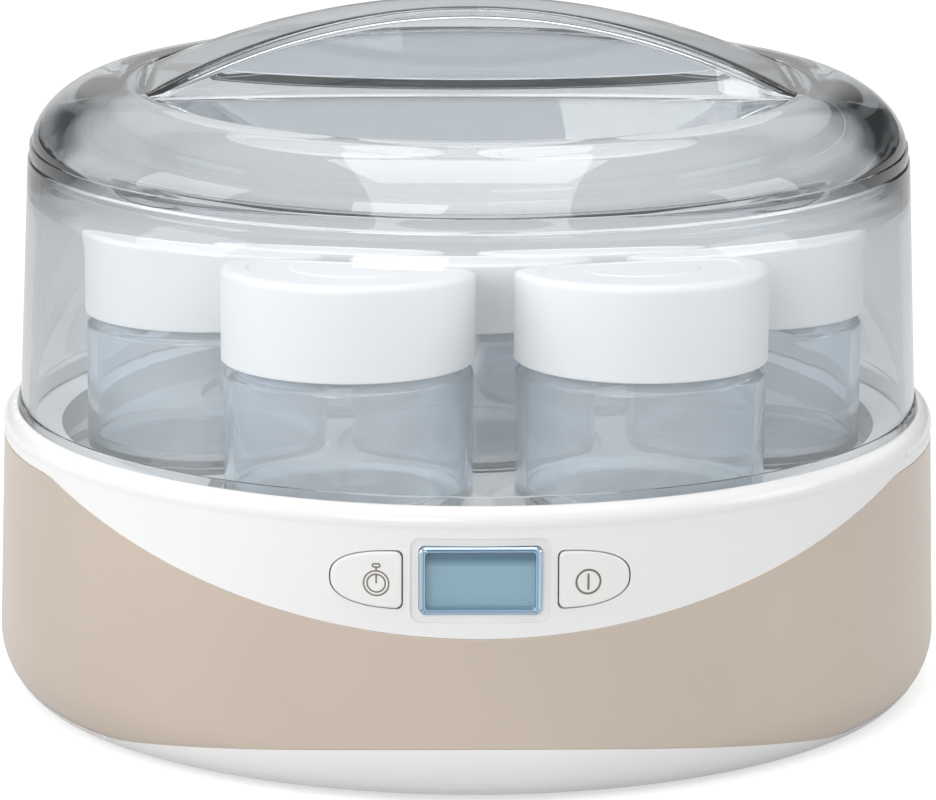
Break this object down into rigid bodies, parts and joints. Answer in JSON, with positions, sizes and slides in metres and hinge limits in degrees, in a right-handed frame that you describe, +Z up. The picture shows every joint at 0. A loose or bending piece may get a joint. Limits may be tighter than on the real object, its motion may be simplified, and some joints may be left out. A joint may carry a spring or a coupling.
{
  "type": "yogurt maker",
  "caption": "Round yogurt maker with a clear dome lid, glass jars with white caps, and a base with a small display between leaf-shaped buttons.",
  "frame": {"origin": "centre of the rest plane under the feet", "axes": "+Z up; -Y is the front, where the display is; +X is to the right seen from the front"},
  "size_m": [0.25, 0.25, 0.181],
  "materials": {
    "white_shell": "gloss",
    "champagne_sleeve": "satin metallic",
    "tray_grey": "satin",
    "clear_dome": "clear gloss",
    "jar_glass": "clear",
    "cap_white": "satin",
    "button_white": "satin",
    "bezel_silver": "gloss",
    "window_clear": "clear gloss",
    "lcd_glass": "gloss",
    "backlight_white": "satin",
    "board_green": "satin",
    "chip_black": "matte",
    "screw_steel": "plated",
    "spreader_aluminium": "mill",
    "mica_brown": "matte",
    "plate_steel": "galvanised",
    "rubber_grey": "matte",
    "relay_blue": "satin",
    "capacitor_yellow": "satin",
    "core_steel": "matte",
    "terminal_green": "satin",
    "fuse_glass": "satin",
    "wire_sleeve": "satin",
    "gland_white": "satin"
  },
  "bodies": {
    "base": {"base_shell": "white_shell", "side_band": "champagne_sleeve", "heating_tray": "tray_grey", "lcd_bezel": "bezel_silver", "lcd_window": "window_clear", "lcd_panel": "lcd_glass", "lcd_backlight": "backlight_white", "display_board": "board_green", "display_chip": "chip_black", "display_screws": "screw_steel", "tact_switches": "chip_black", "buzzer": "chip_black", "heat_spreader": "spreader_aluminium", "mica_heater": "mica_brown", "heater_clamp_plate": "plate_steel", "heater_screws": "screw_steel", "temperature_sensor": "plate_steel", "sensor_clip": "plate_steel", "thermal_fuse": "fuse_glass", "fuse_clip": "plate_steel", "bottom_cover": "white_shell", "cover_screws": "screw_steel", "feet": "rubber_grey", "power_board": "board_green", "board_screws": "screw_steel", "transformer": "core_steel", "relay": "relay_blue", "filter_capacitor": "capacitor_yellow", "storage_capacitors": "chip_black", "line_fuse": "fuse_glass", "terminal_block": "terminal_green", "ribbon_cable": "wire_sleeve", "heater_leads": "wire_sleeve", "mains_leads": "wire_sleeve", "cord_gland": "gland_white", "gland_nut": "gland_white"},
    "lid": {"dome_lid": "clear_dome"},
    "timer_button": {"timer_button": "button_white"},
    "power_button": {"power_button": "button_white"},
    "jar_1": {"jar_1": "jar_glass"},
    "cap_1": {"jar_cap_1": "cap_white"},
    "jar_2": {"jar_2": "jar_glass"},
    "cap_2": {"jar_cap_2": "cap_white"},
    "jar_3": {"jar_3": "jar_glass"},
    "cap_3": {"jar_cap_3": "cap_white"},
    "jar_4": {"jar_4": "jar_glass"},
    "cap_4": {"jar_cap_4": "cap_white"},
    "jar_5": {"jar_5": "jar_glass"},
    "cap_5": {"jar_cap_5": "cap_white"},
    "jar_6": {"jar_6": "jar_glass"},
    "cap_6": {"jar_cap_6": "cap_white"},
    "jar_7": {"jar_7": "jar_glass"},
    "cap_7": {"jar_cap_7": "cap_white"}
  },
  "joints": [
    {"name": "lid_lift", "type": "slide", "parent": "base", "child": "lid", "axis": [0, 0, 1], "range_m": [0, 0.2]},
    {"name": "jar_1_lift", "type": "slide", "parent": "base", "child": "jar_1", "axis": [0, 0, 1], "range_m": [0, 0.09]},
    {"name": "cap_1_lift", "type": "slide", "parent": "jar_1", "child": "cap_1", "axis": [0, 0, 1], "range_m": [0, 0.04]},
    {"name": "jar_2_lift", "type": "slide", "parent": "base", "child": "jar_2", "axis": [0, 0, 1], "range_m": [0, 0.09]},
    {"name": "cap_2_lift", "type": "slide", "parent": "jar_2", "child": "cap_2", "axis": [0, 0, 1], "range_m": [0, 0.04]},
    {"name": "jar_3_lift", "type": "slide", "parent": "base", "child": "jar_3", "axis": [0, 0, 1], "range_m": [0, 0.09]},
    {"name": "cap_3_lift", "type": "slide", "parent": "jar_3", "child": "cap_3", "axis": [0, 0, 1], "range_m": [0, 0.04]},
    {"name": "jar_4_lift", "type": "slide", "parent": "base", "child": "jar_4", "axis": [0, 0, 1], "range_m": [0, 0.09]},
    {"name": "cap_4_lift", "type": "slide", "parent": "jar_4", "child": "cap_4", "axis": [0, 0, 1], "range_m": [0, 0.04]},
    {"name": "jar_5_lift", "type": "slide", "parent": "base", "child": "jar_5", "axis": [0, 0, 1], "range_m": [0, 0.09]},
    {"name": "cap_5_lift", "type": "slide", "parent": "jar_5", "child": "cap_5", "axis": [0, 0, 1], "range_m": [0, 0.04]},
    {"name": "jar_6_lift", "type": "slide", "parent": "base", "child": "jar_6", "axis": [0, 0, 1], "range_m": [0, 0.09]},
    {"name": "cap_6_lift", "type": "slide", "parent": "jar_6", "child": "cap_6", "axis": [0, 0, 1], "range_m": [0, 0.04]},
    {"name": "jar_7_lift", "type": "slide", "parent": "base", "child": "jar_7", "axis": [0, 0, 1], "range_m": [0, 0.09]},
    {"name": "cap_7_lift", "type": "slide", "parent": "jar_7", "child": "cap_7", "axis": [0, 0, 1], "range_m": [0, 0.04]},
    {"name": "timer_press", "type": "slide", "parent": "base", "child": "timer_button", "axis": [0, 1, 0], "range_m": [0, 0.001], "stiffness_N_per_m": 800},
    {"name": "power_press", "type": "slide", "parent": "base", "child": "power_button", "axis": [0, 1, 0], "range_m": [0, 0.001], "stiffness_N_per_m": 800}
  ],
  "couplings": [
    {"joint": "jar_1_lift", "follows": "lid_lift", "ratio": 0.45},
    {"joint": "cap_1_lift", "follows": "lid_lift", "ratio": 0.2},
    {"joint": "jar_2_lift", "follows": "lid_lift", "ratio": 0.45},
    {"joint": "cap_2_lift", "follows": "lid_lift", "ratio": 0.2},
    {"joint": "jar_3_lift", "follows": "lid_lift", "ratio": 0.45},
    {"joint": "cap_3_lift", "follows": "lid_lift", "ratio": 0.2},
    {"joint": "jar_4_lift", "follows": "lid_lift", "ratio": 0.45},
    {"joint": "cap_4_lift", "follows": "lid_lift", "ratio": 0.2},
    {"joint": "jar_5_lift", "follows": "lid_lift", "ratio": 0.45},
    {"joint": "cap_5_lift", "follows": "lid_lift", "ratio": 0.2},
    {"joint": "jar_6_lift", "follows": "lid_lift", "ratio": 0.45},
    {"joint": "cap_6_lift", "follows": "lid_lift", "ratio": 0.2},
    {"joint": "jar_7_lift", "follows": "lid_lift", "ratio": 0.45},
    {"joint": "cap_7_lift", "follows": "lid_lift", "ratio": 0.2}
  ]
}
